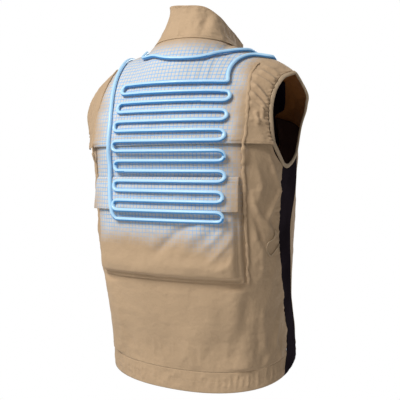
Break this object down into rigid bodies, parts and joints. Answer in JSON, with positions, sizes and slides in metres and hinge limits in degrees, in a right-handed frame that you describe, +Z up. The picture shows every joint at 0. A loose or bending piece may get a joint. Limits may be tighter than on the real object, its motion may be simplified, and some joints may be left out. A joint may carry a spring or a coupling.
{
  "type": "cooling vest",
  "caption": "Sleeveless work vest with stand collar, flapped back pocket, black mesh sides and a cooling tube coiled over the back.",
  "frame": {"origin": "midway between the two points where the shoulder seams meet the neck, where the vest hangs on its wearer's shoulders", "axes": "+Z up along the wearer, +Y the way the wearer faces, so the back is at -Y, +X to the wearer's right"},
  "size_m": [0.4509, 0.3426, 0.731],
  "materials": {
    "cloth": "light woven cotton blend, creased, matte",
    "binding": "elastic tape, matte",
    "side_mesh": "fine knitted mesh, matte",
    "lining": "mesh lining, matte",
    "inner_mesh": "thin open mesh, matte",
    "zip": "zip tape and teeth, matte",
    "tube": "smooth soft tube, glossy",
    "cord": "round elastic cord, matte"
  },
  "bodies": {
    "root": {"back_panel": "cloth", "back_yoke": "cloth", "back_welt_right": "cloth", "back_welt_left": "cloth", "pocket_bag": "cloth", "pocket_flap": "cloth", "front_panel_right": "cloth", "front_panel_left": "cloth", "hem_back": "cloth", "hem_front_right": "cloth", "hem_front_left": "cloth", "collar": "cloth", "armhole_binding_right": "binding", "armhole_binding_left": "binding", "side_mesh_right": "side_mesh", "side_mesh_left": "side_mesh", "front_lining_right": "lining", "front_lining_left": "lining", "inner_pocket_right": "inner_mesh", "inner_pocket_left": "inner_mesh", "front_zip": "zip", "cooling_tube": "tube", "waist_loop": "cord"}
  },
  "joints": []
}
